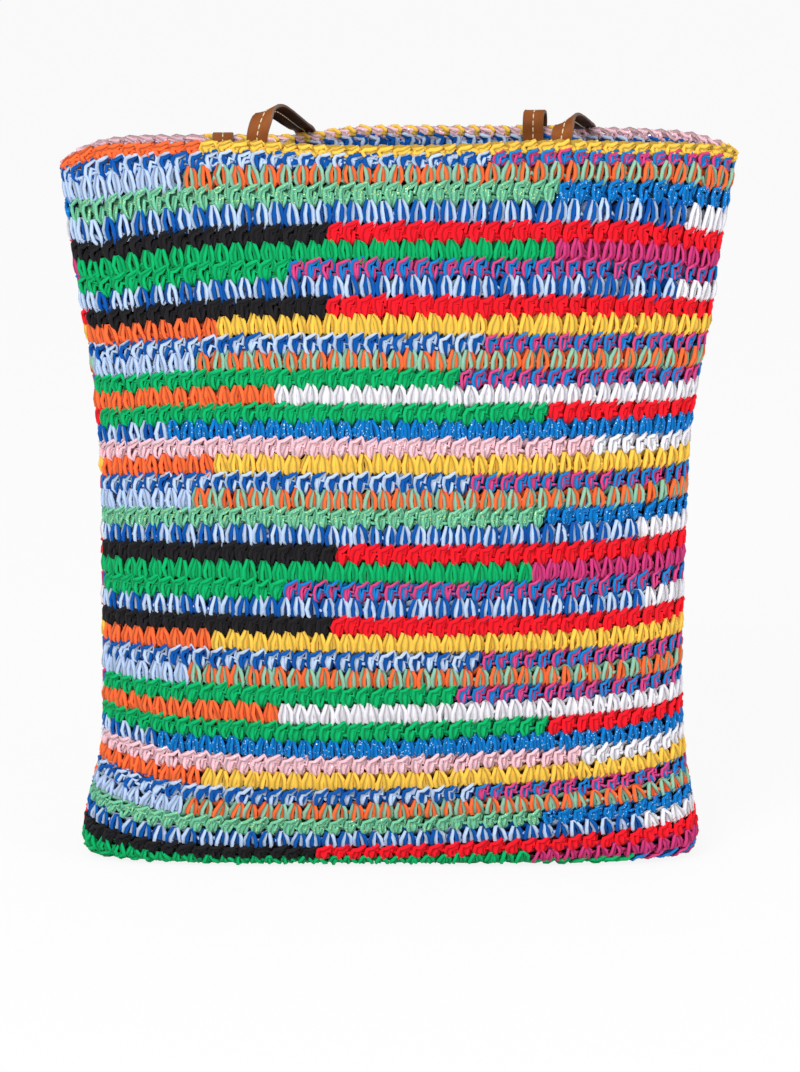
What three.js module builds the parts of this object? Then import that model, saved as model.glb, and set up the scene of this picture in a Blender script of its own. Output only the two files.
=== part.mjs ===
// Crochet shopping bag with a cloth lining and two leather strap handles.
// Millimetres, +Z up. The front faces -Y. The origin is the middle of the base,
// on the surface that the bag stands on.
//
// The bag is a tube of crochet rounds that starts at the rim and is closed by a
// seam along the middle of the base. Its shape is given round by round, from
// round 0 at the rim to the seam, and every other piece takes its place from it.

import * as THREE from 'three';

// Driving sizes of the crochet body
const bagHeight = 489;
const fabricThickness = 7;
const roundCount = 46;
const mouthHalfDepth = 48.5;
const backRimDip = 6.5;
const bellyHalfDepth = 63;
const baseHalfDepth = 53.5;
const seamHalfDepth = 3;
const curlNarrowing = 9;
const mouthHalfWidth = 226.5;
const waistHalfWidth = 198;
const baseHalfWidth = 210.5;

// Driving sizes of the lining
const liningThickness = 1.2;
const liningGap = 0.8;
const liningTopRound = 2;

// Driving sizes of the strap handles
const strapWidth = 14;
const strapThickness = 2.4;
const strapGap = 0.8;
const sewnEndRound = 5;
const leavingRound = 0.3;
const frontEndLeft = -91;
const frontEndRight = 110;
const frontHangLeft = -60;
const frontHangRight = 129;
const frontArchLeft = 21.5;
const frontArchRight = 14;
const frontLeanLeft = 26;
const frontLeanRight = 36;
const frontLoopDepth = 138;
const backEndLeft = -116;
const backEndRight = 93;
const backHangRight = 96;
const backLoopDepth = 205;
const backRiseLeft = 2;
const backRiseRight = 11;

// The round where the fabric first touches the surface that the bag stands on
const standingRound = 43.3;

// How finely the curved pieces are divided, and how much closer together the
// divisions are near the base
const aroundSteps = 48;
const downSteps = 16;
const baseCrowding = 1.5;
const strapSteps = 72;
const halvings = 30;

// A smooth curve through points given as [position, value], flat-ended
function curveThrough(points) {
  return (at) => {
    const last = points.length - 1;
    let k = 0;
    while (k < last - 1 && at > points[k + 1][0]) k += 1;
    const slope = (i) => {
      if (i === 0 || i === last) return 0;
      const run = points[i + 1][0] - points[i - 1][0];
      return (points[i + 1][1] - points[i - 1][1]) / run;
    };
    const span = points[k + 1][0] - points[k][0];
    const t = THREE.MathUtils.clamp((at - points[k][0]) / span, 0, 1);
    const a = points[k][1];
    const b = points[k + 1][1];
    const m = slope(k) * span;
    const n = slope(k + 1) * span;
    const t2 = t * t;
    const t3 = t2 * t;
    return a * (2 * t3 - 3 * t2 + 1) + m * (t3 - 2 * t2 + t) + b * (3 * t2 - 2 * t3) + n * (t3 - t2);
  };
}

// Profiles of the outer face, each against the round number.
// Heights are shares of the bag's height, at the middle of the front and back.
const middleHeight = curveThrough([
  [0, 1], [6, 0.875], [11, 0.748], [16, 0.628], [21, 0.507], [26, 0.38],
  [31, 0.258], [36, 0.139], [40, 0.052], [42, 0.013], [standingRound, 0], [roundCount, 0],
]);
const halfDepth = curveThrough([
  [0, mouthHalfDepth], [11, 0.5 * (mouthHalfDepth + bellyHalfDepth)], [21, bellyHalfDepth],
  [30, bellyHalfDepth], [42, baseHalfDepth], [standingRound, baseHalfDepth - curlNarrowing],
  [roundCount, seamHalfDepth],
]);
// How far out the left and right edges stand: each entry is a round, the width
// that rules there, and how far the edge bulges beyond it
const edgeReach = (entries) => curveThrough(entries.map(([round, width, bulge]) => [round, width + bulge]));
const leftReach = edgeReach([
  [0, mouthHalfWidth, -2.5], [6, mouthHalfWidth, -10.5], [11, waistHalfWidth, 9], [16, waistHalfWidth, 3],
  [21, waistHalfWidth, 1], [31, waistHalfWidth, 1.5], [36, waistHalfWidth, 3], [40, baseHalfWidth, -0.5],
  [42, baseHalfWidth, 3], [standingRound, baseHalfWidth, -0.5], [roundCount, baseHalfWidth, -11],
]);
const rightReach = edgeReach([
  [0, mouthHalfWidth, 2.5], [6, mouthHalfWidth, -8.5], [11, waistHalfWidth, 13], [16, waistHalfWidth, 3],
  [21, waistHalfWidth, 0], [31, waistHalfWidth, -2.5], [36, waistHalfWidth, -0.5], [40, baseHalfWidth, -6.5],
  [42, baseHalfWidth, -3], [standingRound, baseHalfWidth, -6.5], [roundCount, baseHalfWidth, -17],
]);
// How far the rounds droop at the left and right edges, against the round number
const leftDroop = curveThrough([
  [0, 16], [6, 19], [11, 13], [16, 12], [21, 9], [26, 4], [31, 1], [36, -6], [40, -8], [42, -6],
  [standingRound, -3], [roundCount, 0],
]);
const rightDroop = curveThrough([
  [0, 9], [6, 14], [11, 6], [16, 3], [21, 0], [26, -2], [31, -3], [36, -8], [40, -8], [42, -7],
  [standingRound, -3], [roundCount, 0],
]);
// How square each round's outline is: 2 is an ellipse, more is boxier
const squareness = curveThrough([[0, 2.2], [36, 2.4], [42, 4.4], [roundCount, 4.6]]);
// How closely the droop keeps to the side edges
const droopSpread = curveThrough([[0, 14], [6, 5], [roundCount, 5]]);
// The back rim dips where the back handle's left end is folded over it: the share
// of the dip against x, and against the round number
const dipAcross = curveThrough([[-80, 1], [-15, 0]]);
const dipDown = curveThrough([[0, 1], [8, 0]]);

// A point of the bag's surface. turn runs once round the bag, from the left
// edge along the front; inset moves inwards from the outer face.
function bagPoint(turn, round, inset) {
  const angle = 2 * Math.PI * turn;
  const across = -Math.cos(angle);
  const outward = -Math.sin(angle);
  const power = 2 / squareness(round);
  const reach = (across < 0 ? leftReach(round) : rightReach(round)) - inset;
  const depth = Math.max(halfDepth(round) - inset, seamHalfDepth);
  const droop = across < 0 ? leftDroop(round) : rightDroop(round);
  const side = Math.abs(across) ** (power * droopSpread(round));
  const rimLift = (bagHeight - inset) / bagHeight;
  const x = Math.sign(across) * Math.abs(across) ** power * reach;
  const dip = backRimDip * dipAcross(x) * dipDown(round) * Math.max(outward, 0);
  const height = middleHeight(round) * bagHeight - droop * side - dip;
  const lifted = round === 0 ? height : height * rimLift + inset;
  return new THREE.Vector3(
    x,
    Math.sign(outward) * Math.abs(outward) ** power * depth,
    Math.max(lifted, inset),
  );
}

// A point on the front (side -1) or back (side 1) panel at a given x
function panelPoint(x, round, side, out) {
  const reach = x < 0 ? leftReach(round) : rightReach(round);
  const across = THREE.MathUtils.clamp(Math.abs(x) / reach, 0, 1) ** (squareness(round) / 2);
  const angle = Math.acos(-Math.sign(x) * across);
  const turn = angle / (2 * Math.PI);
  const point = bagPoint(side < 0 ? turn : 1 - turn, round, 0);
  return new THREE.Vector3(x, point.y + side * out, point.z);
}

// The round that lies at a given height of the back panel, above the base's curl
function roundAtHeight(x, height) {
  let low = 0;
  let high = roundCount;
  for (let halving = 0; halving < halvings; halving += 1) {
    const middle = 0.5 * (low + high);
    if (panelPoint(x, middle, 1, 0).z > height) low = middle;
    else high = middle;
  }
  return low;
}

// A closed mesh from a row of rings; each ring is a loop of points
function meshFromRings(rings, closeEnds) {
  const count = rings[0].length;
  const points = rings.flat();
  const triangles = [];
  for (let r = 0; r < rings.length - 1; r += 1) {
    for (let i = 0; i < count; i += 1) {
      const j = (i + 1) % count;
      const a = r * count + i;
      const b = r * count + j;
      const c = (r + 1) * count + i;
      const d = (r + 1) * count + j;
      triangles.push(a, c, b, b, c, d);
    }
  }
  if (closeEnds) closeEnds(triangles, count, rings.length);
  const geometry = new THREE.BufferGeometry().setFromPoints(points);
  geometry.setIndex(triangles);
  geometry.computeVertexNormals();
  return geometry;
}

// The rounds that get a ring of points, closer together near the base, where
// the fabric curls under. The lining and the crochet share them, so that their
// faces keep the same gap all over.
const sharedRounds = Array.from({ length: downSteps + 1 }, (_, step) => {
  const share = step / downSteps;
  return liningTopRound + (roundCount - liningTopRound) * (1 - (1 - share) ** baseCrowding);
});

function shellRings(rounds, inset) {
  return rounds.map((round) => (
    Array.from({ length: aroundSteps }, (_, i) => bagPoint(i / aroundSteps, round, inset))
  ));
}

// Closes the narrow slot left along the seam at a shell's bottom ring
function closeSlot(triangles, count, first, flip) {
  const half = count / 2;
  const face = (a, b, c) => (flip ? triangles.push(a, c, b) : triangles.push(a, b, c));
  for (let i = 0; i < half; i += 1) {
    const front = first + i;
    const nextFront = first + i + 1;
    const back = first + ((count - i) % count);
    const nextBack = first + count - i - 1;
    if (i > 0) face(front, back, nextFront);
    if (i < half - 1) face(nextFront, back, nextBack);
  }
}

// An open-topped shell between two insets of the bag's surface
function shell(rounds, outerInset, innerInset) {
  const outside = shellRings(rounds, outerInset);
  const inside = shellRings(rounds, innerInset).reverse();
  return meshFromRings([...inside, ...outside], (triangles, count, ringCount) => {
    closeSlot(triangles, count, 0, true);
    closeSlot(triangles, count, (ringCount - 1) * count, false);
  });
}

// A flat strap along a route of points, each with the turn of its width in
// degrees from the +X direction towards +Y, and how far the width leans upwards
function strap(route) {
  const path = new THREE.CatmullRomCurve3(route.map((stop) => stop.at), false, 'centripetal');
  const turns = curveThrough(route.map((stop, i) => [i, stop.turn]));
  const leans = curveThrough(route.map((stop, i) => [i, stop.lean]));
  const rings = [];
  for (let step = 0; step <= strapSteps; step += 1) {
    const at = path.getUtoTmapping(step / strapSteps);
    const middle = path.getPoint(at);
    const along = path.getTangent(at);
    const turn = THREE.MathUtils.degToRad(turns(at * (route.length - 1)));
    const lean = THREE.MathUtils.degToRad(leans(at * (route.length - 1)));
    const across = new THREE.Vector3(Math.cos(turn), Math.sin(turn), Math.tan(lean));
    across.addScaledVector(along, -across.dot(along)).normalize();
    const up = new THREE.Vector3().crossVectors(along, across);
    const corner = (side, face) => middle.clone()
      .addScaledVector(across, (side * strapWidth) / 2)
      .addScaledVector(up, (face * strapThickness) / 2);
    rings.push([corner(-1, -1), corner(-1, 1), corner(1, 1), corner(1, -1)]);
  }
  return meshFromRings(rings, (triangles, count, ringCount) => {
    const end = (ringCount - 1) * count;
    triangles.push(0, 1, 2, 0, 2, 3);
    triangles.push(end, end + 2, end + 1, end, end + 3, end + 2);
  });
}

// How far a strap's middle lies inside the outer face where it is sewn on
const sewnInset = fabricThickness + liningGap + liningThickness + strapGap + strapThickness / 2;
// How far it lies outside the outer face where it hangs flat, where it hangs
// edge on, and where it hangs edge on over the other handle
const flatStand = strapGap + strapThickness / 2;
const edgeStand = strapGap + strapWidth / 2;
const crossedStand = edgeStand + strapWidth + 2 * strapGap;
// How wide a strap bends as it passes over the rim
const rimBend = 1.5;
// The turn of a strap's width in degrees on its left leg and on its right one
const leftTurn = 0;
const rightTurn = 180;
// Where a hanging loop has its stops, as shares of the way round it, and the
// share of the way at which it begins to turn over
const hangingShares = [0.1, 0.2, 0.3, 0.4, 0.5, 0.6, 0.7, 0.8, 0.9];
const turningStart = 0.12;
// The ways over the rim, as stops of [share of the way across, share of the way
// back, share of the rise, share of the lean]: an arch with a slanting fold for
// the front handle, and a low fold for the back one
const archShape = [
  [0, 0, 0.24, 0], [0.08, 0.02, 0.68, 0.5], [0.2, 0.08, 0.97, 1], [0.36, 0.18, 1.02, 1],
  [0.52, 0.32, 0.87, 0.9], [0.68, 0.54, 0.64, 0.7], [0.84, 0.77, 0.41, 0.4], [0.95, 0.93, 0.27, 0.1],
  [1, 1, 0.08, 0],
];
const foldShape = [[0, 0.02, 0.6, 0], [0.2, 0.25, 1, 0], [0.75, 0.7, 1, 0], [1, 1, 0.5, 0]];

// The stops of a sewn end, from the end up to the rim
function sewnStops(x, side, turn) {
  return [sewnEndRound, 0.5 * sewnEndRound, leavingRound].map((round) => ({
    at: panelPoint(x, round, side, -sewnInset),
    turn,
    lean: 0,
  }));
}

// The stops of a hanging loop behind the back panel, between two legs. The
// stands are how far the strap keeps off the panel at the left, bottom and right.
function hangingStops(left, right, depth, stands) {
  const middle = 0.5 * (left + right);
  const half = 0.5 * (right - left);
  const standAt = curveThrough([[0, stands[0]], [0.5, stands[1]], [1, stands[2]]]);
  return hangingShares.map((share) => {
    const angle = Math.PI * share;
    const x = middle - half * Math.cos(angle);
    const height = bagHeight - depth * Math.sin(angle);
    const panel = panelPoint(x, roundAtHeight(x, height), 1, standAt(share));
    return {
      at: new THREE.Vector3(x, panel.y, height),
      turn: rightTurn * THREE.MathUtils.smoothstep(share, turningStart, 1 - turningStart),
      lean: 0,
    };
  });
}

// The stops of a strap on its way over the rim, from the inside of one panel
// (side) at one x to the outside of the back panel at another
function rimStops(from, to, side, rise, shape, turn, lean) {
  const start = panelPoint(from, 0, side, -sewnInset);
  const finish = panelPoint(to, 0, 1, flatStand + rimBend);
  return shape.map(([across, back, up, leaning]) => ({
    at: new THREE.Vector3(
      THREE.MathUtils.lerp(start.x, finish.x, across),
      THREE.MathUtils.lerp(start.y, finish.y, back),
      THREE.MathUtils.lerp(start.z, finish.z, back) + rise * up,
    ),
    turn,
    lean: lean * leaning,
  }));
}

// The handle of the front panel, thrown back over the mouth and the back rim
function frontHandle() {
  const stands = [edgeStand, crossedStand, crossedStand];
  const overRim = (from, to, rise, turn, lean) => rimStops(from, to, -1, rise, archShape, turn, lean);
  return [
    ...sewnStops(frontEndLeft, -1, leftTurn),
    ...overRim(frontEndLeft, frontHangLeft, frontArchLeft, leftTurn, frontLeanLeft),
    ...hangingStops(frontHangLeft, frontHangRight, frontLoopDepth, stands),
    ...overRim(frontEndRight, frontHangRight, frontArchRight, rightTurn, -frontLeanRight).reverse(),
    ...sewnStops(frontEndRight, -1, rightTurn).reverse(),
  ];
}

// The handle of the back panel, folded out over the back rim
function backHandle() {
  const stands = [edgeStand, edgeStand, edgeStand];
  const lowest = strapGap + strapThickness / 2;
  const overRim = (from, to, rise, turn) => rimStops(from, to, 1, lowest + rise, foldShape, turn, 0);
  return [
    ...sewnStops(backEndLeft, 1, leftTurn),
    ...overRim(backEndLeft, backEndLeft, backRiseLeft, leftTurn),
    ...hangingStops(backEndLeft, backHangRight, backLoopDepth, stands),
    ...overRim(backEndRight, backHangRight, backRiseRight, rightTurn).reverse(),
    ...sewnStops(backEndRight, 1, rightTurn).reverse(),
  ];
}

// The colour and roughness of each material
const crochetLook = { color: 0x3f8fbf, roughness: 0.9 };
const liningLook = { color: 0x141416, roughness: 0.95 };
const leatherLook = { color: 0x8c5023, roughness: 0.45 };

function named(name, geometry, look) {
  const mesh = new THREE.Mesh(geometry, new THREE.MeshStandardMaterial({ ...look, metalness: 0 }));
  mesh.name = name;
  return mesh;
}

const liningInset = fabricThickness + liningGap;
const bag = new THREE.Group();
bag.add(
  named('crochet_body', shell([0, ...sharedRounds], 0, fabricThickness), crochetLook),
  named('lining', shell(sharedRounds, liningInset, liningInset + liningThickness), liningLook),
  named('front_handle', strap(frontHandle()), leatherLook),
  named('back_handle', strap(backHandle()), leatherLook),
);

export default bag;
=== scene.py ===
# A crochet shopping bag in striped cotton yarns, with a black cloth lining and two
# leather strap handles thrown back over the rear rim.
# The shape is worked out in the bag's own millimetres and becomes metres as each mesh
# is made. The front faces -Y and the bag stands on z = 0.

import math

import bpy
import numpy as np
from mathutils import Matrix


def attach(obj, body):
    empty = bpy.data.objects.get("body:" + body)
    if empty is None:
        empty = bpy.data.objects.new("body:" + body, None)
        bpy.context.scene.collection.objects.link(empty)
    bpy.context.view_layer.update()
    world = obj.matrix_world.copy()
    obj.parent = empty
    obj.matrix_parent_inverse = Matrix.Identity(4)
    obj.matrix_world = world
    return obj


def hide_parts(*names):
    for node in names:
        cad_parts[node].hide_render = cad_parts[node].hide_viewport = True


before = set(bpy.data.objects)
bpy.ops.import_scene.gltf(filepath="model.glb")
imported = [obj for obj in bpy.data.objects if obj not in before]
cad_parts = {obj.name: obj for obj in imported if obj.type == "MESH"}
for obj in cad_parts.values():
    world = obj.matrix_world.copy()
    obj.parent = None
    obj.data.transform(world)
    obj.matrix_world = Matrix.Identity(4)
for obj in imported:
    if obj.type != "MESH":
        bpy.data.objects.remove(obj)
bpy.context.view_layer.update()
MM = 0.001

# Sizes of the bag
BAG_HEIGHT = 489
FABRIC = 7
ROUNDS = 46
MOUTH_DEPTH = 48.5
BACK_DIP = 6.5
BELLY_DEPTH = 63
BASE_DEPTH = 53.5
SEAM_DEPTH = 3
MOUTH_WIDTH = 226.5
WAIST_WIDTH = 198
BASE_WIDTH = 210.5
LINING = 1.2
LINING_GAP = 0.8
LINING_TOP = 2
STRAP_WIDTH = 14
STRAP_THICK = 2.4
STRAP_GAP = 0.8

# The crochet: how many stitches each round has, how far each round is shifted along
# from the one above, and how tall a round is on the flat
STITCHES = 90
SHIFT = 0.185
WRONG_SIDE_SHIFT = 0.28
ROUND_TALL = 11.7
# No yarn's middle lies lower than this, so that its tube stays above the floor
LOWEST_YARN = 3.4

rng = np.random.default_rng(46)


# Curves and the surface of the bag

def curve_through(points):
    """A smooth curve through (position, value) points, flat at both ends."""
    xs = np.array([p[0] for p in points], float)
    values = np.array([p[1] for p in points], float)
    slopes = np.zeros(len(xs))
    slopes[1:-1] = (values[2:] - values[:-2]) / (xs[2:] - xs[:-2])

    def at(x):
        x = np.asarray(x, float)
        k = np.clip(np.searchsorted(xs, x, side="left") - 1, 0, len(xs) - 2)
        span = xs[k + 1] - xs[k]
        t = np.clip((x - xs[k]) / span, 0, 1)
        t2 = t * t
        t3 = t2 * t
        start = values[k] * (2 * t3 - 3 * t2 + 1) + slopes[k] * span * (t3 - 2 * t2 + t)
        return start + values[k + 1] * (3 * t2 - 2 * t3) + slopes[k + 1] * span * (t3 - t2)

    return at


middle_height = curve_through([
    (0, 1), (6, 0.875), (11, 0.748), (16, 0.628), (21, 0.507), (26, 0.38),
    (31, 0.258), (36, 0.139), (40, 0.052), (42, 0.013), (43.3, 0), (ROUNDS, 0)])
half_depth = curve_through([
    (0, MOUTH_DEPTH), (11, (MOUTH_DEPTH + BELLY_DEPTH) / 2), (21, BELLY_DEPTH),
    (30, BELLY_DEPTH), (42, BASE_DEPTH), (43.3, BASE_DEPTH - 9), (ROUNDS, SEAM_DEPTH)])
left_reach = curve_through([
    (0, MOUTH_WIDTH - 2.5), (6, MOUTH_WIDTH - 10.5), (11, WAIST_WIDTH + 9), (16, WAIST_WIDTH + 3),
    (21, WAIST_WIDTH + 1), (31, WAIST_WIDTH + 1.5), (36, WAIST_WIDTH + 3), (40, BASE_WIDTH - 0.5),
    (42, BASE_WIDTH + 3), (43.3, BASE_WIDTH - 0.5), (ROUNDS, BASE_WIDTH - 11)])
right_reach = curve_through([
    (0, MOUTH_WIDTH + 2.5), (6, MOUTH_WIDTH - 8.5), (11, WAIST_WIDTH + 13), (16, WAIST_WIDTH + 3),
    (21, WAIST_WIDTH), (31, WAIST_WIDTH - 2.5), (36, WAIST_WIDTH - 0.5), (40, BASE_WIDTH - 6.5),
    (42, BASE_WIDTH - 3), (43.3, BASE_WIDTH - 6.5), (ROUNDS, BASE_WIDTH - 17)])
left_droop = curve_through([
    (0, 16), (6, 19), (11, 13), (16, 12), (21, 9), (26, 4), (31, 1), (36, -6), (40, -8),
    (42, -6), (43.3, -3), (ROUNDS, 0)])
right_droop = curve_through([
    (0, 9), (6, 14), (11, 6), (16, 3), (21, 0), (26, -2), (31, -3), (36, -8), (40, -8),
    (42, -7), (43.3, -3), (ROUNDS, 0)])
squareness = curve_through([(0, 2.2), (36, 2.4), (42, 4.4), (ROUNDS, 4.6)])
droop_spread = curve_through([(0, 14), (6, 5), (ROUNDS, 5)])
dip_across = curve_through([(-80, 1), (-15, 0)])
dip_down = curve_through([(0, 1), (8, 0)])
# The rim is pulled up a little where the handles are sewn on
front_pull = curve_through([(-190, 0), (-110, 1), (-40, 0), (30, 0), (108, 1), (175, 0)])
pull_down = curve_through([(0, 3.2), (4, 0)])


def bag_point(turn, rnd, inset):
    """A point of the surface: turn runs once round from the left edge along the front,
    rnd counts rounds down from the rim, and inset goes inwards from the outer face."""
    turn, rnd, inset = np.broadcast_arrays(np.asarray(turn, float), rnd, inset)
    across = -np.cos(2 * np.pi * turn)
    outward = -np.sin(2 * np.pi * turn)
    power = 2 / squareness(rnd)
    on_left = across < 0
    reach = np.where(on_left, left_reach(rnd), right_reach(rnd)) - inset
    depth = np.maximum(half_depth(rnd) - inset, SEAM_DEPTH)
    droop = np.where(on_left, left_droop(rnd), right_droop(rnd))
    x = np.sign(across) * np.abs(across) ** power * reach
    dip = BACK_DIP * dip_across(x) * dip_down(rnd) * np.maximum(outward, 0)
    pull = pull_down(rnd) * front_pull(x) * np.maximum(-outward, 0)
    side = np.abs(across) ** (power * droop_spread(rnd))
    height = middle_height(rnd) * BAG_HEIGHT - droop * side - dip
    lifted = np.where(rnd == 0, height, height * (BAG_HEIGHT - inset) / BAG_HEIGHT + inset)
    y = np.sign(outward) * np.abs(outward) ** power * depth
    return np.stack([x, y, np.maximum(lifted, inset) + pull], axis=-1)


# Where rounds lie off their even places, in rounds: each shift goes by the round, and
# its share by x at the rim. Near the rim they lie lower on the left part of the front,
left_lower = curve_through([(0, 0), (1, 0.42), (5, 0.5), (10, 0.28), (16, 0), (ROUNDS, 0)])
left_share = curve_through([(-228, 0.35), (-205, 1), (-120, 0.55), (-30, 0.05), (0, 0)])
# and near the base lower across the middle and left of the front,
front_lower = curve_through([(0, 0), (29, 0), (34, 0.3), (42, 0.3), (44, 0), (ROUNDS, 0)])
front_share = curve_through([(-228, 0.2), (-160, 0.9), (-90, 1), (3, 0.8), (77, 0), (228, 0)])
# and higher towards both edges all round, which leaves the last rounds taller there
edge_higher = curve_through([(0, 0), (36, 0), (38, 0.15), (42, 0.5), (44, 0.4), (45.2, 0.1),
                             (ROUNDS, 0)])
edge_share = curve_through([(-228, 1), (-215, 0.9), (-160, 0.3), (-90, 0), (3, 0), (77, 0.3),
                            (151, 1), (228, 0.9)])


class Surface:
    """The bag's surface by share of the way round, so that stitches are evenly spaced."""

    across_steps = 1440
    round_step = 0.25

    def __init__(self):
        # the turns lie closer together at the quarters, where a square round moves fastest
        shares = np.linspace(0, 1, self.across_steps + 1)
        quarter = np.floor(shares * 4)
        part = shares * 4 - quarter
        turns = (quarter + part ** 2 * (3 - 2 * part)) / 4
        outer = []
        inner = []
        for rnd in np.arange(0, ROUNDS + self.round_step, self.round_step):
            middle = bag_point(turns, rnd, FABRIC / 2)
            steps = np.linalg.norm(np.diff(middle, axis=0), axis=1)
            length = np.concatenate([[0], np.cumsum(steps)])
            even = np.interp(shares, length / length[-1], turns)
            outer.append(bag_point(even, rnd, 0))
            inner.append(bag_point(even, rnd, FABRIC))
        self.outer = np.array(outer)
        self.inner = np.array(inner)

    def at(self, share, rnd, out):
        """The point at a share of the way round, and the way out of the fabric there.
        out is the height above the middle of the fabric."""
        share = np.mod(share, 1) * self.across_steps
        first = self.outer[0, np.minimum(share.astype(int), self.across_steps - 1)]
        on_front = np.clip(-first[..., 1] / 20, 0, 1)
        lower = left_lower(rnd) * left_share(first[..., 0])
        lower = lower + front_lower(rnd) * front_share(first[..., 0])
        rnd = rnd + lower * on_front - edge_higher(rnd) * edge_share(first[..., 0])
        row = np.clip(rnd, 0, ROUNDS) / self.round_step
        i = np.minimum(row.astype(int), len(self.outer) - 2)
        j = np.minimum(share.astype(int), self.across_steps - 1)
        v = (row - i)[..., None]
        u = (share - j)[..., None]

        def blend(table):
            top = table[i, j] * (1 - u) + table[i, j + 1] * u
            low = table[i + 1, j] * (1 - u) + table[i + 1, j + 1] * u
            return top * (1 - v) + low * v

        outer = blend(self.outer)
        inner = blend(self.inner)
        inset = (FABRIC / 2 - np.asarray(out))[..., None] / FABRIC
        point = outer + (inner - outer) * inset
        point[..., 2] += np.maximum(-rnd, 0) * ROUND_TALL
        way_out = outer - inner
        return point, way_out / np.linalg.norm(way_out, axis=-1, keepdims=True)


surface = Surface()


# Mesh making

def new_object(name, points, quads, maps, materials, faces_use=None):
    """A smooth mesh object from arrays: points in millimetres, quads as point numbers,
    and maps as a dict of one (u, v) for each corner of each quad."""
    mesh = bpy.data.meshes.new(name)
    mesh.vertices.add(len(points))
    mesh.vertices.foreach_set("co", (points * MM).astype(np.float32).ravel())
    mesh.loops.add(quads.size)
    mesh.loops.foreach_set("vertex_index", quads.astype(np.int32).ravel())
    mesh.polygons.add(len(quads))
    mesh.polygons.foreach_set("loop_start", np.arange(0, quads.size, 4, dtype=np.int32))
    mesh.polygons.foreach_set("use_smooth", np.ones(len(quads), bool))
    if faces_use is not None:
        mesh.polygons.foreach_set("material_index", faces_use.astype(np.int32))
    for key, corners in maps.items():
        layer = mesh.uv_layers.new(name=key)
        layer.uv.foreach_set("vector", corners.astype(np.float32).ravel())
    mesh.update(calc_edges=True)
    mesh.validate()
    obj = bpy.data.objects.new(name, mesh)
    bpy.context.collection.objects.link(obj)
    for material in materials:
        mesh.materials.append(material)
    return obj


def ring_quads(rings, count, start=0):
    """The ring and place of each quad of a tube of rings of count points, and the two
    point numbers that it has on its first ring."""
    k = np.arange(rings - 1)[:, None]
    j = np.arange(count)[None, :]
    a = start + k * count + j
    b = start + k * count + (j + 1) % count
    return k, j, a, b


def corner_map(u0, u1, v0, v1):
    """The map of quads whose corners go up the map, along it and down again."""
    return np.stack([u0, v0, u0, v1, u1, v1, u1, v0], axis=-1).reshape(-1, 4, 2)


def stand_for(obj, node):
    """Makes an object ride with the bag, and hides the node whose place it takes."""
    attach(obj, "root")
    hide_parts(node)


def unit(vectors):
    return vectors / np.maximum(np.linalg.norm(vectors, axis=-1, keepdims=True), 1e-9)


def through_points(controls, at):
    """Catmull-Rom points of a row of controls at the given positions along it."""
    k = np.clip(np.floor(at).astype(int), 0, len(controls) - 2)
    t = (at - k)[:, None]
    before = controls[np.maximum(k - 1, 0)]
    a = controls[k]
    b = controls[k + 1]
    after = controls[np.minimum(k + 2, len(controls) - 1)]
    return 0.5 * (2 * a + (b - before) * t + (2 * before - 5 * a + 4 * b - after) * t ** 2
                  + (3 * a - before - 3 * b + after) * t ** 3)


# The way of the yarn through one stitch: along the round, up the round, out of the
# fabric in millimetres, and how far its two strands lie apart as a share of their
# widest. It starts at the bar left of the stitch and ends at the next one. On the
# right side a V stands on its tip under a slanted, pointed top loop.
RIGHT_SIDE = np.array([
    (-0.50, 0.27, 0.0, 1.0),
    (-0.18, 0.18, -1.6, 0.6),
    (-0.05, -0.01, 0.9, 0.2),
    (-0.15, 0.26, 2.2, 0.9),
    (-0.23, 0.54, 2.3, 1.15),
    (-0.18, 0.80, 2.0, 1.0),
    (0.08, 0.87, 2.4, 1.0),
    (0.45, 1.09, 1.4, 0.3),
    (0.52, 0.80, 0.6, 0.8),
    (0.44, 0.50, 0.4, 0.9),
    (0.17, 0.60, 0.9, 0.8),
    (0.12, 0.28, 1.6, 0.9),
    (0.03, -0.04, 0.5, 0.2),
    (0.22, 0.20, -1.7, 0.8),
])
# On the wrong side a leaf-shaped peak rises from the hole, with bars between the legs
WRONG_SIDE = np.array([
    (-0.50, 0.40, 0.6, 1.3),
    (-0.22, 0.22, -1.3, 0.7),
    (-0.13, 0.00, 0.8, 0.6),
    (-0.24, 0.28, 2.0, 1.1),
    (-0.26, 0.64, 2.6, 1.15),
    (-0.13, 1.12, 2.0, 0.45),
    (0.03, 1.10, 1.4, 0.4),
    (0.22, 0.76, 2.1, 1.05),
    (0.29, 0.36, 2.0, 1.15),
    (0.14, 0.00, 0.8, 0.6),
    (0.31, 0.24, -1.4, 0.8),
])

# Stitches overlap the rounds above and below by this share of their height
OVERLAP = 1.12
for stitch in (RIGHT_SIDE, WRONG_SIDE):
    stitch[:, 1] = 0.5 + (stitch[:, 1] - 0.5) * OVERLAP

# How far the yarn turns about itself, how often its two strands change places in the
# loops and in the packed yarn, and how quickly a run through the fabric takes its side
# from its neighbours
YARN_TURN = 0.42
TURN_STEPS = 7
SWAP_OFTEN = 0.3
PACK_SWAP_OFTEN = 0.4
SIDE_TRUST = 1.4
# How much the points of a stitch, whole stitches and the edging's points stray along
# the round, up it, out of it and in their spread
POINT_NOISE = (0.014, 0.02, 0.1, 0.05)
STITCH_NOISE = (0.03, 0.03, 0.15, 0.05)
EDGING_NOISE = (0.03, 0.03, 0.2, 0.05)
# How far stitches lean along the round as they rise: the usual lean, how much it
# strays, and the height on the stitch that stays in place
STITCH_TILT = (0.03, 0.07)
TILT_FOOT = 0.2
# How much the packed yarn strays up and down
PACK_NOISE = 0.05
# The margin around each stitch's tile in the unwrapped map
TILE_MARGIN = 0.04

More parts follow.
